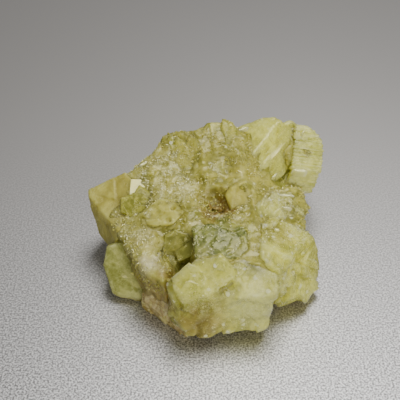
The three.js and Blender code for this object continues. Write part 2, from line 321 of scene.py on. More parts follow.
def build_relief_tree():
    tree, given, result = new_geometry_tree("crystal_relief", RELIEF_INPUTS)
    place = tree.nodes.new("GeometryNodeInputPosition").outputs[0]
    normal = tree.nodes.new("GeometryNodeInputNormal").outputs[0]
    crust = crust_mask(tree, given, place)
    pit = pit_mask(tree, given, place)
    small_facets, small_tone = facet_relief(tree, given, place, 1.0, given["Facet Slope"])
    large_facets, large_tone = facet_relief(tree, given, place, 2.6, given["Large Slope"])
    tone = maths(tree, "MULTIPLY_ADD", large_tone, 0.6, times(tree, small_tone, 0.4))
    height = times(tree, crust, given["Crust Height"])
    for relief in (small_facets, large_facets, line_relief(tree, given, place),
                   wave_relief(tree, given, place)):
        height = maths(tree, "ADD", height, relief)
    height = maths(tree, "SUBTRACT", height, times(tree, pit, given["Pit Depth"]))
    moved = vector_maths(tree, "ADD", place, scaled(tree, normal, height))
    moved = vector_maths(tree, "ADD", moved, rounded_foot(tree, given, place))
    move = {"Geometry": given["Geometry"], "Position": resting(tree, moved)}
    shape = add(tree, "GeometryNodeSetPosition", move).outputs[0]
    for name, value in (("crust", crust), ("pit", pit), ("tone", tone)):
        stored = {"Geometry": shape, "Name": name, "Value": value}
        shape = add(tree, "GeometryNodeStoreNamedAttribute", stored, data_type="FLOAT",
                    domain="POINT").outputs[0]
    shape = add(tree, "GeometryNodeRealizeInstances", {0: shape}).outputs[0]
    shape = add(tree, "GeometryNodeSetMaterial", {"Geometry": shape, "Material": given["Finish"]}).outputs[0]
    tree.links.new(shape, result[0])
    return tree


relief_tree = build_relief_tree()
print("relief inputs:", [label for label, _, _ in RELIEF_INPUTS])


# %% Helpers that turn worked objects into plain meshes
def set_inputs(modifier, values):
    sockets = {item.name: item for item in modifier.node_group.interface.items_tree if item.in_out == "INPUT"}
    for label, value in values.items():
        modifier[sockets[label].identifier] = value


def new_object(name, mesh):
    thing = bpy.data.objects.new(name, mesh)
    bpy.context.scene.collection.objects.link(thing)
    return thing


def made_plain(name, worked):
    """The result of an object's modifiers as a plain mesh object; the worked object is removed."""
    shapes = bpy.context.evaluated_depsgraph_get()
    mesh = bpy.data.meshes.new_from_object(worked.evaluated_get(shapes))
    mesh.name = name
    bpy.data.objects.remove(worked)
    return new_object(name, mesh)


def triangle_count(piece):
    return sum(len(face.vertices) - 2 for face in piece.data.polygons)


# %% [markdown]
# ## From flat solids to skins
#
# Crystals that grew side by side meet without a gap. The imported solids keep 0.3 mm apart, so each
# solid's faces are first moved out by half of that and a little more. Its edges are then worn by
# smoothing, because grown edges are blunt. Small crystals may be added before a second remesh, so
# that they grow out without a seam, and hollows may be pressed in.

# %% Helpers that prepare a solid
MEET = 0.24 * MM      # how far every face moves out, so that neighbours meet
SAME_PLACE = 1e-6     # corners closer than this are one corner
SAME_WAY = 0.999      # faces whose normals agree this well are one face
LONGEST_MOVE = 2.5 * MEET


def merged_copy(node):
    """The node's solid with its corners joined and every face moved out by MEET."""
    shape = bmesh.new()
    shape.from_mesh(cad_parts[node].data)
    bmesh.ops.remove_doubles(shape, verts=shape.verts, dist=SAME_PLACE)
    shape.normal_update()
    for corner in shape.verts:
        normals = []
        for face in corner.link_faces:
            if all(face.normal.dot(other) < SAME_WAY for other in normals):
                normals.append(face.normal.copy())
        move = Vector(np.linalg.lstsq(np.array(normals), np.full(len(normals), MEET), rcond=0.05)[0])
        corner.co += move * min(1.0, LONGEST_MOVE / move.length)
    mesh = bpy.data.meshes.new("merged")
    shape.to_mesh(mesh)
    shape.free()
    return mesh


def joined(meshes):
    shape = bmesh.new()
    for mesh in meshes:
        shape.from_mesh(mesh)
    together = bpy.data.meshes.new("joined")
    shape.to_mesh(together)
    shape.free()
    return together


def even_quads(mesh, voxel):
    solid = new_object("work", mesh)
    remesh = solid.modifiers.new("even quads", "REMESH")
    remesh.mode = "VOXEL"
    remesh.voxel_size = voxel * MM
    return made_plain("even", solid)


GLINT = (0.12, -0.23, 0.965)  # a face turned this way mirrors the overhead lamp to the front


SIX_SIDED = [(0.50, 0.0), (0.30, 0.42), (-0.30, 0.44), (-0.50, 0.04), (-0.26, -0.44), (0.32, -0.40)]
WEDGE = [(-0.50, -0.50), (0.30, 0.10), (0.50, 0.48), (-0.48, 0.42)]
BLOCK = [(-0.50, -0.50), (0.50, -0.50), (0.50, 0.50), (-0.50, 0.50)]
SPLINTER = [(-0.50, -0.40), (0.12, -0.50), (0.50, 0.30), (-0.20, 0.50)]


def crystal(centre, size, along, up=GLINT, slant=0.25, outline=SIX_SIDED, rim=0.75):
    """A flat-topped block: length, width and height in mm, laid `along` one way, its top facing `up`."""
    points = [(x, y, -0.7) for x, y in outline] + [(x, y, 0.3 + slant * y) for x, y in outline]
    points += [(rim * x, rim * y, 0.5) for x, y in outline]
    top = Vector(up).normalized()
    side = top.cross(Vector(along)).normalized()
    front = side.cross(top)
    shape = bmesh.new()
    for x, y, z in points:
        shape.verts.new(MM * (
            Vector(centre) + front * x * size[0] + side * y * size[1] + top * (z - 0.5) * size[2]))
    bmesh.ops.convex_hull(shape, input=shape.verts)
    mesh = bpy.data.meshes.new("crystal")
    shape.to_mesh(mesh)
    shape.free()
    return mesh


# %% Helpers that mark where things are
def neighbours_of(node):
    """One search tree for the surfaces of all the other nodes."""
    points, faces = [], []
    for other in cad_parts:
        if other != node:
            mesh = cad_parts[other].data
            first = len(points)
            points.extend(v.co.copy() for v in mesh.vertices)
            faces.extend([first + i for i in face.vertices] for face in mesh.polygons)
    return BVHTree.FromPolygons(points, faces)


HIDDEN_WITHIN = 0.9 * MM   # a point that faces a neighbour this close is hidden
RAY_SETBACK = 0.3 * MM     # the ray starts this far inside


def hidden_share(mesh, neighbours):
    hidden = np.zeros(len(mesh.vertices), dtype=np.float32)
    for i, (vertex, normal) in enumerate(zip(mesh.vertices, mesh.vertex_normals)):
        hidden[i] = neighbours.ray_cast(vertex.co - RAY_SETBACK * normal.vector, normal.vector,
            HIDDEN_WITHIN)[0] is not None
    return hidden


def store(mesh, name, values):
    mesh.attributes.new(name, "FLOAT", "POINT").data.foreach_set("value", values.astype(np.float32))


def marked(mesh, patches):
    """How strongly each point lies in the patches: each a centre and a radius in mm, and a strength."""
    places = np.empty(len(mesh.vertices) * 3, dtype=np.float32)
    mesh.vertices.foreach_get("co", places)
    places = places.reshape(-1, 3) / MM
    strength = np.zeros(len(places), dtype=np.float32)
    for centre, radius, amount in patches:
        far = np.linalg.norm(places - np.array(centre, dtype=np.float32), axis=1) / radius
        fade = np.clip(1.6 - 1.2 * far, 0, 1)  # full inside half the radius, gone a third past its edge
        strength = np.maximum(strength, amount * fade)
    return strength


# %% The skin recipe
def points_with_normals(mesh):
    """Each vertex with a copy of its normal, taken before any vertex moves."""
    return list(zip(mesh.vertices, [normal.vector.copy() for normal in mesh.vertex_normals]))


def softened(piece, rounds):
    """Wears the edges down a little with each round."""
    smoothing = piece.modifiers.new("smoothing", "SMOOTH")
    smoothing.iterations = rounds
    return made_plain(piece.name, piece)


def pressed(piece, hollows):
    """Presses hollows into a piece: each a centre and a radius in mm, and a depth in mm."""
    depths = marked(piece.data, hollows) * MM
    for (vertex, normal), depth in zip(points_with_normals(piece.data), depths):
        vertex.co -= normal * float(depth)
    return piece


def skin(node, finish, slot, voxel=0.2, frosted=(), growths=(), hollows=(), solid=None, soften=0, **relief):
    even = even_quads(joined([solid or merged_copy(node)]), voxel)
    if soften:
        even = softened(even, soften)
    if growths:
        grown = joined([even.data, *growths])
        bpy.data.objects.remove(even)
        even = even_quads(grown, voxel)
    if hollows:
        even = pressed(even, hollows)
    store(even.data, "frosted", marked(even.data, frosted) * (1 - hidden_share(even.data,
        neighbours_of(node))))
    modifier = even.modifiers.new("relief", "NODES")
    modifier.node_group = relief_tree
    set_inputs(modifier, {**relief, "Finish": finish})
    piece = made_plain(node + "_skin", even)
    piece.data.shade_smooth()
    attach(piece, "root")
    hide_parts(node)
    print(f"{piece.name}: {triangle_count(piece)} triangles")
    return piece


# %% [markdown]
# ## Finishes
#
# Brazilianite is a clear yellow-green stone clouded by healed cracks and etching. Light goes into
# it, scatters and comes out nearby, and loses its blue on the way. One recipe makes all of its
# finishes. Milky clouds scatter light deep inside, and between them the stone is see-through. White
# spots, flecks, fine dashes that are partly frost and partly painted glints, thin veils and a pale
# crust lie over both, and a painted shade darkens the foot.

# %% One recipe for the stone's finishes
def surface_mark(tree, name):
    return add(tree, "ShaderNodeAttribute", attribute_name=name).outputs["Fac"]


def stain_and_painted_light_over(tree, where, colour, stains_and_painted_light):
    """Adds each spot, some of them real stains and some painted shade and light: a ragged spot with a centre
    and radius in mm, a colour and a strength.
    """
    for centre, radius, patch_colour, strength in stains_and_painted_light:
        far = vector_maths(tree, "DISTANCE", where, tuple(c * MM for c in centre))
        ragged = maths(tree, "ADD", maths(tree, "DIVIDE", far, radius * MM),
            noise(tree, where, 1.6 * MM, detail=4))
        share = times(tree, soft_step(tree, ragged, 1.6, 0.8), strength)
        colour = blend_colour(tree, share, colour, patch_colour)
    return colour


def white_spots(tree, where, spacing, share):
    """Soft irregular white spots inside the stone, sparse enough to count."""
    warp = add(tree, "ShaderNodeTexNoise", {"Vector": where, "Scale": 1 / (0.9 * MM),
        "Detail": 2.0}).outputs["Color"]
    shift = scaled(tree, vector_maths(tree, "SUBTRACT", warp, (0.5, 0.5, 0.5)), 0.8 * MM)
    spots = add(tree, "ShaderNodeTexVoronoi", {"Vector": vector_maths(tree, "ADD", where, shift),
        "Scale": 1 / spacing}).outputs
    picked = maths(tree, "GREATER_THAN", red_of(tree, spots["Color"]), 1 - share)
    return times(tree, soft_step(tree, spots["Distance"], 0.27, 0.17), picked)


def flecks(tree, where, size, share):
    """Small pale flecks that keep together in clumps, as etched spots do."""
    clump = soft_step(tree, noise(tree, where, 2.4 * MM, detail=3), 0.62 - 0.25 * share, 0.72 - 0.25 * share)
    fleck = soft_step(tree, noise(tree, where, size, detail=3, distortion=1.0), 0.54, 0.62)
    return times(tree, clump, fleck)


OLIVE = (0.66, 0.66, 0.09)
PALE = (0.97, 0.92, 0.24)
WHITE = (0.99, 0.95, 0.44)
SPOT_WHITE = (1.0, 0.98, 0.46)
FOOT_SHADE_COLOUR = (0.42, 0.30, 0.06)  # painted shade near the cut, where the stone meets the sheet
FOOT_SHADE_TOP = 2.6 * MM
BRAZILIANITE_IOR = 1.6
GLEAM_TINT = (1.0, 0.95, 0.60, 1)  # a gleam from inside is yellow
SPOT_SPACING = 1.7 * MM
FLECK_SIZE = 0.55 * MM
DASH_SIZE = 0.3 * MM               # finest pale marks: partly frost, partly painted glints


def mineral(name, body, clear_colour=OLIVE, clear_share=0.4, patch=2.6, roughness=0.35, clear=0.0,
            glow_radius=3.0, pit_colour=(0.30, 0.27, 0.06), spots=0.0, fleck=0.0, clouds=0.4, absorb=None,
            stains_and_painted_light=()):
    material, tree, surface, output = new_material(name)
    where = object_coordinates(tree)
    tone = surface_mark(tree, "tone")
    broad = noise(tree, where, patch * MM, detail=4, roughness=0.6, distortion=0.8)
    small = noise(tree, where, 0.7 * MM, detail=3, roughness=0.6)
    mottle = maths(tree, "MULTIPLY_ADD", broad, 0.62, times(tree, small, 0.26))
    mottle = maths(tree, "MULTIPLY_ADD", tone, 0.12, mottle)
    middle = 0.38 + 0.24 * clear_share
    openings = soft_step(tree, mottle, middle + 0.11, middle - 0.11)
    colour = blend_colour(tree, openings, body, clear_colour)
    pale_clouds = noise(tree, where, 1.4 * patch * MM, detail=4, roughness=0.6, distortion=0.6)
    pale_clouds = times(tree, soft_step(tree, pale_clouds, 0.50, 0.68), clouds)
    colour = blend_colour(tree, pale_clouds, colour, PALE)
    colour = stain_and_painted_light_over(tree, where, colour, stains_and_painted_light)
    # Painted shade: towards the cut the colour turns dark brown, with a ragged upper edge.
    height = maths(tree, "ADD", parts_of(tree, where)[2],
                   times(tree, maths(tree, "SUBTRACT", broad, 0.5), 4 * MM))
    foot_shade = times(tree, soft_step(tree, height, FOOT_SHADE_TOP, 0.0), 0.8)
    colour = blend_colour(tree, foot_shade, colour, FOOT_SHADE_COLOUR)
    veil_noise = noise(tree, where, 4.5 * MM, detail=5, roughness=0.6, distortion=1.4)
    veil = soft_step(tree, maths(tree, "ABSOLUTE", maths(tree, "SUBTRACT", veil_noise, 0.5)), 0.015, 0.0)
    crust = surface_mark(tree, "crust")
    pale_share = maths(tree, "MAXIMUM", times(tree, crust, 0.2), times(tree, veil, 0.3))
    frosted = surface_mark(tree, "frosted")
    # Fine pale dashes where frost was marked: partly frost, partly painted glints of tiny faces.
    frost_dashes_and_glints = soft_step(tree, noise(tree, where, DASH_SIZE, detail=2, distortion=0.8), 0.53, 0.60)
    frost_dashes_and_glints = times(tree, frost_dashes_and_glints, soft_step(tree, maths(tree, "ADD", frosted, broad), 0.7, 1.3))
    pale_share = maths(tree, "MAXIMUM", pale_share, times(tree, frost_dashes_and_glints, 0.55))
    pale_share = maths(tree, "MAXIMUM", pale_share, times(tree, flecks(tree, where, FLECK_SIZE, fleck), 0.7))
    colour = blend_colour(tree, pale_share, colour, WHITE)
    if spots:
        spot_share = white_spots(tree, where, SPOT_SPACING, spots)
        colour = blend_colour(tree, spot_share, colour, SPOT_WHITE)
        pale_share = maths(tree, "MAXIMUM", pale_share, spot_share)
    pit = surface_mark(tree, "pit")
    colour = blend_colour(tree, times(tree, pit, 0.9), colour, pit_colour)
    tree.links.new(colour, surface.inputs["Base Color"])
    fine = noise(tree, where, 0.5 * MM, detail=3)
    rough = maths(tree, "ADD", times(tree, fine, 0.25), roughness - 0.12)
    rough = maths(tree, "ADD", rough, times(tree, pale_share, 0.15), clamp=True)
    tree.links.new(rough, surface.inputs["Roughness"])
    bump_height = noise(tree, where, 0.35 * MM, detail=4)
    bump = add(tree, "ShaderNodeBump", {"Height": bump_height, "Distance": 0.04 * MM, "Strength": 0.4})
    tree.links.new(bump.outputs[0], surface.inputs["Normal"])
    surface.inputs["IOR"].default_value = BRAZILIANITE_IOR
    surface.inputs["Specular IOR Level"].default_value = 0.45
    surface.inputs["Specular Tint"].default_value = GLEAM_TINT
    surface.inputs["Subsurface Weight"].default_value = 1.0
    surface.inputs["Subsurface Radius"].default_value = (1.0, 1.0, 1.0)
    surface.inputs["Subsurface Scale"].default_value = glow_radius * MM
    if clear:
        see_through = maths(tree, "MULTIPLY_ADD", openings, 0.8 * clear, 0.2 * clear)
        see_through = times(tree, see_through, maths(tree, "SUBTRACT", 1.0, pale_share))
        tree.links.new(see_through, surface.inputs["Transmission Weight"])
    if absorb:
        volume = add(tree, "ShaderNodeVolumeAbsorption", {"Color": (*absorb[0], 1), "Density": absorb[1]})
        tree.links.new(volume.outputs[0], output.inputs["Volume"])
    return material


CLEAR_YELLOW = ((0.99, 0.975, 0.35), 450)  # what a thick piece lets through, and how fast it takes the rest
CLEAR_GREEN = ((0.975, 0.985, 0.30), 600)

MILKY_FRONT = mineral("cloudy_brazilianite", body=(0.82, 0.80, 0.17), clear_colour=(0.70, 0.71, 0.11),
    patch=4.0, roughness=0.22, clear=0.5, glow_radius=5.0, spots=0.5, fleck=0.15, clouds=0.15,
    # The first three stains darken the front face and the lower left: partly duller stone, partly painted
    # shade.
    absorb=CLEAR_YELLOW, stains_and_painted_light=[((2.0, -20.5, 9.5), 4.0, (0.66, 0.62, 0.11), 0.8),
        ((-5.8, -17.0, 7.0), 4.0, (0.48, 0.38, 0.10), 1.0),
        ((-1.5, -20.5, 5.0), 6.0, (0.52, 0.42, 0.09), 1.0),
        # Painted light: this pale stain lightens the lower front of the milky block, partly its milky colour.
        ((7.5, -20.5, 8.5), 6.5, (1.0, 0.97, 0.28), 1.0),
        ((8.9, -16.2, 13.3), 1.5, (0.42, 0.46, 0.03), 0.9)])
MILKY = mineral("milky_brazilianite", fleck=0.3, body=(0.95, 0.90, 0.20), clear_colour=(0.84, 0.83, 0.13),
    patch=4.0, roughness=0.24, clear=0.5, glow_radius=5.0, spots=0.5, clouds=0.15, absorb=CLEAR_YELLOW,
    stains_and_painted_light=[((9.0, -16.0, 13.3), 1.5, (0.42, 0.46, 0.03), 0.9),
        ((12.0, -8.2, 14.3), 4.0, (0.58, 0.54, 0.09), 0.9)])
YELLOW = mineral("yellow_brazilianite", body=(0.70, 0.62, 0.12), clear_colour=(0.58, 0.51, 0.06),
    clear_share=0.3, patch=3.5, roughness=0.4, clear=0.3, absorb=CLEAR_YELLOW)
TAN_PLATE = mineral("tan_brazilianite", body=(0.58, 0.52, 0.12), clear_colour=(0.50, 0.43, 0.07), patch=4.0,
    roughness=0.42, clear=0.25, absorb=CLEAR_YELLOW)
SLAB = mineral("smooth_brazilianite", body=(0.64, 0.59, 0.13), clear_colour=(0.54, 0.51, 0.08), patch=2.0,
    roughness=0.34, clear=0.35, spots=0.05, fleck=0.2, absorb=CLEAR_YELLOW)
ETCHED = mineral("etched_brazilianite", spots=0.1, body=(0.29, 0.32, 0.06), clear_colour=(0.15, 0.19, 0.03),
    clear_share=0.5, patch=1.3, fleck=0.2, clouds=0.1, roughness=0.3, clear=0.45, glow_radius=2.0,
    absorb=CLEAR_GREEN, stains_and_painted_light=[((5.4, -12.5, 14.8), 2.8, (0.54, 0.53, 0.12), 0.8),
        ((-1.0, -13.2, 14.6), 2.0, (0.48, 0.48, 0.12), 0.8),
        ((4.5, -7.5, 15.0), 2.2, (0.50, 0.49, 0.09), 0.8)])
PEAK = mineral("speckled_brazilianite", body=(0.68, 0.62, 0.12), clear_colour=(0.48, 0.48, 0.06), patch=3.0,
               clouds=0.0, spots=0.05, roughness=0.28, clear=0.35, glow_radius=4.0, absorb=CLEAR_YELLOW)
STRIATED = mineral("striated_brazilianite", body=(0.92, 0.92, 0.29), clear_colour=(0.78, 0.80, 0.15),
    roughness=0.2, clear=0.35, glow_radius=3.0, fleck=0.1, absorb=CLEAR_YELLOW)
PRISM = mineral("glassy_yellow_brazilianite", body=(0.97, 0.90, 0.20), clear_colour=(0.94, 0.87, 0.14),
    roughness=0.24, spots=0.04, fleck=0.1, clear=0.4, glow_radius=5.0, absorb=CLEAR_YELLOW)
GREEN = mineral("clear_green_brazilianite", body=(0.70, 0.70, 0.24), clear_colour=(0.56, 0.58, 0.13),
    patch=5.0, roughness=0.12, clouds=0.3, clear=0.5, glow_radius=4.0, absorb=CLEAR_GREEN)
GLASSY = mineral("pale_glassy_brazilianite", body=(0.95, 0.88, 0.30), clear_colour=(0.90, 0.83, 0.22),
    patch=1.2, clouds=0.2, roughness=0.2, glow_radius=0.6, absorb=CLEAR_YELLOW)
OLIVE_GLASS = mineral("olive_glassy_brazilianite", body=(0.46, 0.44, 0.07), clear_colour=(0.28, 0.28, 0.03),
    patch=1.4, fleck=0.2, roughness=0.2, clear=0.2, glow_radius=2.0, absorb=CLEAR_GREEN)
POCKET_GLASS = mineral("deep_green_brazilianite", body=(0.50, 0.48, 0.12), clear_colour=(0.32, 0.32, 0.06),
    patch=2.0, clear_share=0.5, fleck=0.3, roughness=0.2, clear=0.2, glow_radius=1.5, absorb=CLEAR_GREEN)
BRIGHT = mineral("bright_clear_brazilianite", body=(0.99, 0.95, 0.36), clear_colour=(0.98, 0.94, 0.30),
    roughness=0.1, clear=0.1, glow_radius=1.5, absorb=CLEAR_YELLOW)
GROUND = mineral("sugary_brazilianite", spots=0.1, body=(0.58, 0.53, 0.11),
    clear_colour=(0.40, 0.38, 0.045), patch=2.4, fleck=0.15, clouds=0.15, roughness=0.3, glow_radius=4.0,
    clear=0.35, absorb=CLEAR_YELLOW, stains_and_painted_light=[((1.7, -2.8, 14.7), 4.6, (0.28, 0.17, 0.025), 1.0),
        ((2.2, -5.7, 15.0), 1.3, (0.18, 0.20, 0.02), 1.0),
        ((3.2, -5.4, 14.4), 1.6, (0.20, 0.24, 0.03), 1.0),
        ((-0.5, -1.2, 14.8), 2.6, (0.44, 0.38, 0.05), 0.9),
        ((6.5, 4.5, 15.8), 4.0, (0.78, 0.70, 0.13), 0.9),
        ((-2.4, -4.4, 15.0), 1.6, (0.34, 0.34, 0.05), 0.8),
        # Painted shade: this dark olive stain darkens the hollow between the prism and the striated crystal.
        ((14.4, 7.2, 13.0), 3.6, (0.40, 0.41, 0.04), 0.9),
        ((6.5, -8.5, 14.8), 2.5, (0.50, 0.50, 0.07), 0.8),
        # These three brown stains on the low front-left walls are partly the stone's brown, partly painted
        # shade.
        ((-7.0, -15.5, 7.0), 5.5, (0.52, 0.38, 0.10), 1.0),
        ((-13.8, -11.5, 7.0), 4.5, (0.46, 0.38, 0.08), 1.0),
        ((-11.0, -14.0, 6.0), 4.0, (0.50, 0.38, 0.10), 1.0),
        ((-8.2, -9.6, 10.8), 1.7, (0.38, 0.36, 0.05), 1.0),
        ((-9.0, -11.8, 12.0), 1.6, (0.40, 0.37, 0.07), 0.9),
        ((-11.5, -8.5, 11.8), 3.0, (0.84, 0.74, 0.30), 0.5),
        ((1.0, 0.6, 15.4), 1.6, (0.30, 0.27, 0.03), 0.9),
        ((-7.6, -15.0, 11.5), 1.8, (0.48, 0.38, 0.11), 1.0),
        ((-10.3, -13.2, 11.2), 2.6, (0.92, 0.80, 0.48), 0.7)])
PINK = mineral("pinkish_feldspar", body=(0.86, 0.70, 0.36), clear_colour=(0.50, 0.36, 0.12),
    clear_share=0.5, patch=1.0, roughness=0.4, glow_radius=1.2, spots=0.3, fleck=0.6)
DRUSE = mineral("druse_brazilianite", body=(0.62, 0.56, 0.14), clear_colour=(0.44, 0.41, 0.06), patch=2.4,
    roughness=0.16, glow_radius=0.4, fleck=0.2)
BROWN = mineral("brown_stained_brazilianite", body=(0.32, 0.22, 0.035), clear_colour=(0.22, 0.14, 0.02),
    patch=1.0, roughness=0.55, glow_radius=0.4, clouds=0.0)
FROST = mineral("frosty_grains", body=(0.96, 0.88, 0.28), clear_colour=(0.92, 0.84, 0.22), roughness=0.15,
    glow_radius=0.5)

# %% [markdown]
# ## The ground
#
# The ground fills every narrow gap between the crystals. Its skin starts from a fuller solid: all
# the crystals together are swollen, joined, and shrunk again, which closes the gaps. Near a
# crystal's face the filling is sunk a little under it, and where it bridges a gap it stays flush.
# Over the upper part it reaches further, so that ground and crystals fuse into one mass, and
# around the pockets it reaches less, so that they stay open.

# %% The ground's fuller solid
CLEAR_ONES = ("green_corner_crystal", "pocket_crystal", "small_glassy_crystal")
GAP_REACH = 2.0 * MM    # gaps up to twice this wide are closed
GAP_VOXEL = 0.45
GAP_SMOOTHING = 8
SUNK_BELOW = 0.7 * MM   # how deep the filling lies under the crystals' faces
FLUSH_FROM = 0.7 * MM   # this far from any face it bridges a gap and is not sunk
FILLED_UP = [((-6.0, 4.0, 17.0), 8.0, 1.0), ((2.5, 5.0, 17.5), 8.0, 1.0), ((-12.0, -1.5, 15.0), 6.0, 0.8),
    ((-7.0, -3.5, 15.5), 5.0, 0.8), ((16.0, 2.0, 13.5), 4.0, 0.6), ((17.0, 10.0, 15.0), 4.0, 0.3)]
KEPT_OPEN = [((-5.5, -10.5, 11.0), 6.5, 1.0), ((2.2, -2.9, 15.0), 4.0, 0.9), ((-1.0, -1.4, 15.2), 3.0, 0.7),
             ((3.4, -5.8, 15.0), 2.6, 0.8), ((14.5, 7.0, 13.0), 4.0, 0.9)]


def moved_along_normals(piece, distances):
    for (vertex, normal), distance in zip(points_with_normals(piece.data), distances):
        vertex.co += normal * distance
    mesh = piece.data.copy()
    bpy.data.objects.remove(piece)
    return mesh


def reach(piece):
    return GAP_REACH * (1 + marked(piece.data, FILLED_UP)) * (1 - 0.8 * marked(piece.data, KEPT_OPEN))


def gap_filling():
    opaque = [merged_copy(node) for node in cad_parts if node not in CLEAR_ONES]
    together = even_quads(joined(opaque), GAP_VOXEL)
    swollen = even_quads(moved_along_normals(together, reach(together)), GAP_VOXEL)
    shrunk = even_quads(moved_along_normals(swollen, -reach(swollen)), GAP_VOXEL)
    shrunk = softened(shrunk, GAP_SMOOTHING)
    faces = bmesh.new()
    faces.from_mesh(joined(opaque))
    surfaces = BVHTree.FromBMesh(faces)
    faces.free()
    far = np.array([surfaces.find_nearest(vertex.co)[3] for vertex in shrunk.data.vertices])
    return moved_along_normals(shrunk, -SUNK_BELOW * np.clip(1 - far / FLUSH_FROM, 0.05, 1))


# %% The crystals' skins
RIDGE = [((-15.0, -5.0, 12.0), 3.0, 0.9), ((-13.0, -8.5, 11.8), 3.2, 1.0), ((-10.5, -13.0, 11.4), 3.0, 1.0)]
UPPER_DRUSE = [((-9.5, 5.0, 16.4), 6.0, 1.0), ((-6.0, 1.0, 16.2), 5.0, 0.9), ((-14.0, 6.0, 15.0), 4.0, 0.8)]
MIDDLE_DRUSE = [((-2.5, -5.5, 15.2), 3.0, 0.6), ((7.0, -5.5, 15.0), 4.0, 0.7),
    ((-9.0, -6.0, 13.0), 4.0, 0.7), ((11.5, -0.5, 14.6), 3.5, 0.8)]

GROUND_HOLLOWS = [((1.3, -3.2, 15.2), 3.0, 1.0), ((2.6, -4.8, 15.2), 1.8, 0.9),
    ((-8.5, -4.2, 15.2), 4.0, 0.6), ((-13.0, 1.0, 15.0), 3.2, 0.7), ((14.3, 7.4, 13.5), 2.6, 1.0),
    ((-8.2, -11.5, 12.2), 2.4, 1.2)]
BLOCK_CREASE = [((1.2, -20.4, 12.5), 0.9, 0.4), ((2.4, -20.2, 12.8), 0.9, 0.5),
                ((3.6, -19.4, 13.4), 0.9, 0.4)]
GREEN_HOLE = [((8.9, -16.3, 13.6), 1.1, 0.7)]

skins = {}
skins["ground"] = skin("ground_mass", GROUND, "sugary_ground", voxel=0.27, frosted=RIDGE + UPPER_DRUSE,
    solid=joined([merged_copy("ground_mass"), gap_filling()]), hollows=GROUND_HOLLOWS,
    **{"Facet Slope": 0.2, "Large Slope": 0.22, "Facet Size": 1.2 * MM, "Stretch": 1.2,
        "Wave Height": 0.2 * MM, "Frost": 0.4})
skins["front"] = skin("front_block_crystals", MILKY_FRONT, "milky_crystal", soften=25,
    hollows=BLOCK_CREASE + GREEN_HOLE, frosted=[((0.0, -19.0, 13.0), 3.0, 0.5),
        ((-1.0, -20.5, 10.5), 3.5, 0.7), ((7.0, -19.0, 9.0), 5.0, 0.55), ((9.0, -18.5, 13.5), 4.0, 0.45)],
    **{"Wave Height": 0.5 * MM, "Wave Size": 4.0 * MM, "Facet Slope": 0.08, "Facet Size": 1.7 * MM,
        "Large Slope": 0.36, "Stretch": 1.2, "Undercut": 3.4 * MM, "Bulge": 1.2 * MM})
skins["middle"] = skin("frosted_middle_crystal", ETCHED, "milky_crystal", soften=15,
    frosted=[((1.5, -11.0, 14.8), 6.0, 0.2)], **{"Facet Size": 1.2 * MM, "Facet Slope": 0.22})
skins["right"] = skin("right_block_crystals", MILKY, "milky_crystal", soften=20, hollows=GREEN_HOLE,
    frosted=[((15.5, -7.5, 13.2), 3.0, 0.9), ((13.5, -14.0, 9.7), 3.0, 0.5),
        ((11.0, -9.5, 14.5), 3.0, 0.5)], **{"Wave Height": 0.4 * MM, "Wave Size": 3.5 * MM,
        "Facet Slope": 0.12, "Facet Size": 1.5 * MM, "Large Slope": 0.5, "Stretch": 1.2,
        "Undercut": 2.6 * MM, "Bulge": 0.8 * MM})
skins["right_frosted"] = skin("right_frosted_crystal", MILKY, "milky_crystal", soften=30,
    frosted=[((13.0, -0.5, 14.5), 4.5, 0.6)], **{"Facet Slope": 0.25, "Large Slope": 0.5})
skins["plate"] = skin("left_plate_crystal", TAN_PLATE, "yellow_crystal", soften=8,
    **{"Frost": 0.0, "Facet Slope": 0.08, "Large Slope": 0.14, "Wave Height": 0.25 * MM,
        "Grow Along": (0.6, -0.79, -0.08)})
skins["slab"] = skin("slab_crystal", SLAB, "yellow_crystal", soften=10,
    hollows=[((-6.2, -3.7, 15.9), 0.45, 0.6), ((-7.1, -5.6, 14.9), 0.45, 0.6)],
    **{"Pit Depth": 0.25 * MM, "Grow Along": (1, 0, 0.1), "Large Slope": 0.2})
skins["tan"] = skin("tan_prism_crystal", YELLOW, "yellow_crystal", soften=20,
                    **{"Grow Along": (-0.38, 0.57, 0.73)})
skins["peak"] = skin("peak_crystals", PEAK, "yellow_crystal", soften=38,
    frosted=[((-4.5, 6.0, 17.5), 3.5, 0.5), ((0.0, 4.0, 18.0), 3.0, 0.2)],
    **{"Grow Along": (-0.22, 0.9, 0.38), "Stretch": 3.0, "Large Slope": 0.35, "Facet Slope": 0.1})
skins["prism"] = skin("upper_prism_crystals", PRISM, "yellow_crystal", soften=35,
    **{"Grow Along": (0.62, 0.75, 0.22), "Stretch": 4.0, "Frost": 0.1})
skins["end"] = skin("striated_end_crystal", STRIATED, "yellow_crystal", voxel=0.16,
    growths=[crystal((18.0, 14.2, 18.9), (1.8, 0.5, 1.0), (0.5, 0.8, 0.1)),
        crystal((19.7, 12.8, 17.3), (2.8, 0.45, 1.0), (1.0, -0.1, 0.0)),
        crystal((19.2, 11.2, 16.2), (3.0, 0.4, 1.0), (1.0, -0.1, 0.0)),
        crystal((17.9, 8.8, 14.3), (2.8, 0.6, 1.0), (1.0, 0.1, 0.0))],
    **{"Line Height": 0.9 * MM, "Line Spacing": 0.5 * MM, "Across Lines": (0.1, 0.76, 0.64), "Frost": 0.1,
        "Grow Along": (1, 0, 0), "Stretch": 4.0})
skins["corner"] = skin("green_corner_crystal", GREEN, "clear_green_crystal", soften=4,
    **{"Frost": 0.0, "Facet Slope": 0.05, "Large Slope": 0.1})
skins["glassy"] = skin("small_glassy_crystal", OLIVE_GLASS, "clear_green_crystal",
    **{"Frost": 0.0, "Facet Slope": 0.05, "Large Slope": 0.0, "Wave Height": 0.0, "Crust Height": 0.0})
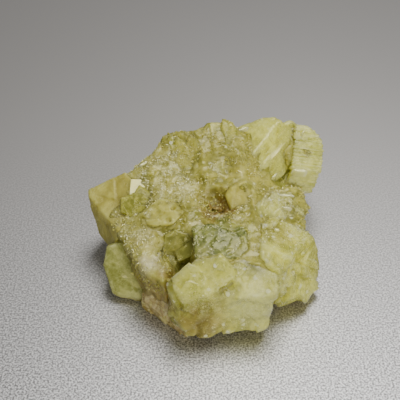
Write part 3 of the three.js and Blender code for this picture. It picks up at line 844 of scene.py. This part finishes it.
skins["pocket"] = skin("pocket_crystal", POCKET_GLASS, "clear_green_crystal",
    **{"Frost": 0.0, "Facet Slope": 0.05, "Large Slope": 0.1, "Wave Height": 0.0, "Crust Height": 0.0})
skins["feldspar"] = skin("feldspar_matrix", PINK, "feldspar", soften=20,
    **{"Wave Height": 0.5 * MM, "Frost": 0.5, "Facet Slope": 0.4, "Undercut": 0.3 * MM})

# %% [markdown]
# ## Small clear crystals
#
# A few small clear blades stand on the striated crystal, the prism, the right cluster, the peaks
# and the upper ground. Their tops all face the same way, so they flash together. Some single
# faces are crisper than a remeshed skin can be: a white one and an olive one beside the plate, two
# in the green pocket and a strip on the prism. Brown needles stand in the brown pocket, and pale
# veils, which are healed cracks, lie in the green corner. Plain hulls keep all their edges sharp.

# %% Blades, crisp faces, needles and veils
def loose(name, meshes, finish):
    piece = new_object(name, joined(meshes))
    piece.data.materials.append(finish)
    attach(piece, "root")
    print(f"{piece.name}: {triangle_count(piece)} triangles")
    return piece


ACROSS = (1.0, -0.05, 0.0)
loose("clear_blades", [crystal((18.2, 13.2, 19.5), (1.6, 0.4, 1.2), (0.5, 0.85, 0.1), outline=SPLINTER),
        crystal((17.4, 7.2, 14.95), (2.9, 0.7, 1.4), (1.0, 0.0, -0.1), rim=0.9),
        crystal((12.5, 5.7, 15.0), (1.9, 0.4, 1.4), (0.75, 0.65, 0.1), outline=SPLINTER),
        crystal((14.2, 0.4, 15.1), (3.4, 0.5, 1.6), ACROSS, outline=SPLINTER),
        crystal((14.1, -2.1, 14.5), (2.3, 0.25, 1.4), ACROSS),
        crystal((12.1, -8.2, 15.1), (1.0, 0.6, 1.0), ACROSS),
        crystal((6.7, 13.3, 20.0), (2.6, 0.3, 1.2), (0.85, 0.4, 0.2)),
        crystal((-11.4, 7.4, 16.8), (3.4, 0.8, 1.2), (0.8, 0.5, 0.2)),
        crystal((-15.8, 5.0, 15.6), (1.8, 0.5, 1.0), (0.8, 0.5, 0.2)),
        crystal((-1.8, 8.9, 20.0), (3.0, 0.25, 1.4), (0.35, -0.9, -0.3))], BRIGHT)
loose("prism_strip", [crystal((12.3, 9.1, 17.0), (7.2, 0.9, 2.0), (0.72, 0.66, 0.29),
        up=(-0.1, -0.35, 0.93), outline=SPLINTER)], GLASSY)
loose("white_face", [crystal((-12.5, 1.9, 15.5), (3.8, 4.5, 2.6), (1.0, 0.0, -0.1), up=(0.12, -0.21, 0.965),
        outline=WEDGE, rim=0.9)], GLASSY)
loose("olive_face", [crystal((-13.1, -1.7, 14.55), (6.0, 5.8, 2.8), (0.9, 0.5, 0.1), up=(0.15, -0.45, 0.88),
        slant=0.0, rim=0.92)], OLIVE_GLASS)
loose("pocket_faces", [crystal((-3.6, -8.8, 12.4), (5.6, 5.4, 3.0), (0.8, 0.1, 0.4),
        up=(-0.35, -0.45, 0.82), outline=BLOCK, rim=0.98),
        crystal((-6.0, -10.4, 9.8), (6.4, 5.4, 3.0), (0.9, -0.1, -0.4), up=(0.30, -0.60, 0.74),
        outline=BLOCK, rim=0.98)], POCKET_GLASS)
loose("brown_needles", [crystal((1.0, -3.6, 14.3), (3.6, 0.6, 1.0), (1.0, 0.3, 0.1), up=(-0.3, -0.7, 0.6),
        outline=SPLINTER), crystal((2.3, -2.8, 14.4), (3.0, 0.6, 1.0), (0.8, -0.6, 0.0),
        up=(0.2, -0.8, 0.5), outline=SPLINTER), crystal((2.0, -4.6, 14.4), (3.2, 0.6, 1.0), (1.0, 0.0, 0.2),
        up=(0.0, -0.7, 0.7), outline=SPLINTER), crystal((0.2, -2.6, 14.3), (2.4, 0.8, 1.0), (0.4, 0.9, 0.1),
        up=(-0.4, -0.5, 0.7), outline=SPLINTER)], BROWN)
loose("corner_veils", [crystal((-14.6, -10.6, 5.2), (2.2, 0.6, 0.12), (1.0, 0.1, 0.1), up=(0.1, -0.6, 0.8)),
        crystal((-13.2, -10.9, 6.2), (1.8, 0.5, 0.12), (1.0, -0.4, 0.1), up=(-0.1, -0.7, 0.7)),
        crystal((-14.0, -10.4, 3.9), (2.6, 0.5, 0.12), (1.0, 0.0, 0.3), up=(0.0, -0.8, 0.6)),
        crystal((-12.4, -10.6, 3.2), (1.6, 0.6, 0.12), (0.9, 0.0, -0.3), up=(0.2, -0.7, 0.7))], GLASSY)

# %% [markdown]
# ## Druse and frost
#
# Two coats of tiny crystals lie on the stone. The druse has nearly the ground's colour and covers the
# ground and the peaks. White frost lies in clumps on it and on some faces. Both are thousands of
# crystals under a millimetre, so a second Geometry Nodes tree scatters copies of one little crystal
# over a skin, thickest where it was marked for them and where a noise makes clumps, each turned
# and sized at random and sunk into the skin.

# %% The little crystal and the frost tree
def grain_crystal():
    """A thin flat-topped blade, one unit long, sunk half its height below the origin."""
    outline = [(0.50, 0.02), (0.22, 0.26), (-0.30, 0.22), (-0.48, -0.04), (-0.20, -0.27), (0.26, -0.22)]
    points = [(x, 0.7 * y, -0.3) for x, y in outline] + [(0.85 * x, 0.6 * y, 0.18) for x, y in outline]
    shape = bmesh.new()
    for point in points:
        shape.verts.new(point)
    bmesh.ops.convex_hull(shape, input=shape.verts)
    mesh = bpy.data.meshes.new("grain_crystal")
    shape.to_mesh(mesh)
    shape.free()
    return new_object("grain_crystal", mesh)


FROST_INPUTS = [("Crystal", "NodeSocketObject", None), ("Per Square Metre", "NodeSocketFloat", 8e6),
    ("Clump Size", "NodeSocketFloat", 2.0 * MM), ("Smallest", "NodeSocketFloat", 0.22 * MM),
    ("Largest", "NodeSocketFloat", 0.6 * MM), ("Thins Below", "NodeSocketFloat", 0.0),
    ("Common Turn", "NodeSocketVector", (0.24, 0.12, 0.0)), ("Lean", "NodeSocketFloat", 0.16),
    ("Seed", "NodeSocketInt", 1), ("Finish", "NodeSocketMaterial", None)]


SIZE_SKEW = 1.6      # above 1, most copies are small
NEARLY_HALF_TURN = 3.1
THINNING_DEPTH = 3 * MM


def random_value(tree, kind, low, high, seed):
    given = {"Min": low, "Max": high, "Seed": seed}
    node = tree.nodes.new("FunctionNodeRandomValue")
    node.data_type = kind
    shown = {socket.name: socket for socket in node.inputs if socket.enabled}
    for label, value in given.items():
        if isinstance(value, bpy.types.NodeSocket):
            tree.links.new(value, shown[label])
        else:
            shown[label].default_value = value
    return next(socket for socket in node.outputs if socket.enabled)


def build_frost_tree():
    tree, given, result = new_geometry_tree("frost", FROST_INPUTS)
    place = tree.nodes.new("GeometryNodeInputPosition").outputs[0]
    clumps = soft_step(tree, noise(tree, place, given["Clump Size"], detail=3.0), 0.46, 0.60)
    share = times(tree, read_attribute(tree, "grainy"), clumps)
    height = parts_of(tree, place)[2]
    thinned = soft_step(tree, height, maths(tree, "SUBTRACT", given["Thins Below"], THINNING_DEPTH),
        given["Thins Below"])
    share = times(tree, share, thinned)
    density = times(tree, share, given["Per Square Metre"])
    spread = {"Mesh": given["Geometry"], "Density": density, "Seed": given["Seed"]}
    points = add(tree, "GeometryNodeDistributePointsOnFaces", spread).outputs
    low = vector_maths(tree, "SUBTRACT", given["Common Turn"], given["Lean"])
    high = vector_maths(tree, "ADD", given["Common Turn"], given["Lean"])
    tilt = random_value(tree, "FLOAT_VECTOR", low, high, given["Seed"])
    spin = random_value(tree, "FLOAT", -NEARLY_HALF_TURN, NEARLY_HALF_TURN,
        maths(tree, "ADD", given["Seed"], 3))
    spin = add(tree, "ShaderNodeCombineXYZ", {2: spin}).outputs[0]
    tilted = add(tree, "FunctionNodeEulerToRotation", {"Euler": tilt}).outputs[0]
    spun = add(tree, "FunctionNodeEulerToRotation", {"Euler": spin}).outputs[0]
    turned = add(tree, "FunctionNodeRotateRotation", {"Rotation": tilted, "Rotate By": spun},
                 rotation_space="LOCAL").outputs[0]
    chance = random_value(tree, "FLOAT", 0.0, 1.0, maths(tree, "ADD", given["Seed"], 7))
    skewed = maths(tree, "POWER", chance, SIZE_SKEW)
    more = times(tree, skewed, maths(tree, "SUBTRACT", given["Largest"], given["Smallest"]))
    size = maths(tree, "ADD", given["Smallest"], more)
    crystal = add(tree, "GeometryNodeObjectInfo", {"Object": given["Crystal"]}).outputs["Geometry"]
    copies = add(tree, "GeometryNodeInstanceOnPoints", {
        "Points": points["Points"], "Instance": crystal, "Rotation": turned, "Scale": size}).outputs[0]
    real = add(tree, "GeometryNodeRealizeInstances", {0: copies}).outputs[0]
    shape = add(tree, "GeometryNodeSetMaterial", {"Geometry": real, "Material": given["Finish"]}).outputs[0]
    tree.links.new(shape, result[0])
    return tree


frost_tree = build_frost_tree()
seed_grain = grain_crystal()


# %% Druse and frost on the skins
def frost_on(name, base, patches, slot, **inputs):
    work = new_object("work", base.data.copy())
    store(work.data, "grainy", marked(work.data, patches))
    modifier = work.modifiers.new("frost", "NODES")
    modifier.node_group = frost_tree
    set_inputs(modifier, {"Crystal": seed_grain, "Finish": FROST, **inputs})
    piece = made_plain(name, work)
    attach(piece, "root")
    print(f"{piece.name}: {triangle_count(piece)} triangles")
    return piece


EVERYWHERE = [((0.0, 0.0, 10.0), 60.0, 1.0)]
frost_on("ground_druse", skins["ground"], EVERYWHERE, "sugary_ground", Seed=21,
    **{"Finish": DRUSE, "Per Square Metre": 5e6, "Thins Below": 9 * MM, "Clump Size": 3.0 * MM,
        "Smallest": 0.3 * MM, "Largest": 0.8 * MM, "Lean": 0.5})
frost_on("peak_druse", skins["peak"], EVERYWHERE, "yellow_crystal", Seed=23,
    **{"Finish": DRUSE, "Per Square Metre": 3e6, "Clump Size": 3.0 * MM, "Smallest": 0.3 * MM,
        "Largest": 0.8 * MM, "Lean": 0.5})
frost_on("ground_frost", skins["ground"], RIDGE + UPPER_DRUSE + MIDDLE_DRUSE, "sugary_ground", Seed=3)
frost_on("middle_frost", skins["middle"], [((1.5, -11.0, 14.8), 7.0, 1.0)], "milky_crystal", Seed=5,
    **{"Clump Size": 1.2 * MM, "Largest": 0.45 * MM})
frost_on("peak_frost", skins["peak"], [((-4.5, 6.0, 17.5), 3.5, 0.8), ((0.0, 4.0, 18.0), 3.0, 0.5)],
    "yellow_crystal", Seed=7, **{"Largest": 0.45 * MM})
frost_on("right_frost", skins["right_frosted"], [((13.0, -0.5, 14.5), 4.5, 0.8)], "milky_crystal", Seed=9)
frost_on("right_block_frost", skins["right"], [((15.5, -7.5, 13.2), 3.0, 1.0),
        ((13.5, -14.0, 9.7), 2.5, 0.7), ((9.5, -9.5, 14.8), 4.0, 0.5), ((13.0, -11.0, 13.0), 3.5, 0.35)],
    "milky_crystal", Seed=11, **{"Clump Size": 1.2 * MM})
frost_on("front_frost", skins["front"], [((-1.0, -20.5, 10.5), 3.5, 0.6), ((1.0, -18.5, 14.0), 3.5, 0.25),
        ((6.0, -18.5, 13.5), 4.0, 0.2), ((10.5, -17.5, 13.5), 3.0, 0.25), ((7.5, -20.5, 9.5), 4.5, 0.25)],
    "milky_crystal", Seed=13, **{"Largest": 0.5 * MM, "Clump Size": 1.0 * MM})
bpy.data.objects.remove(seed_grain)
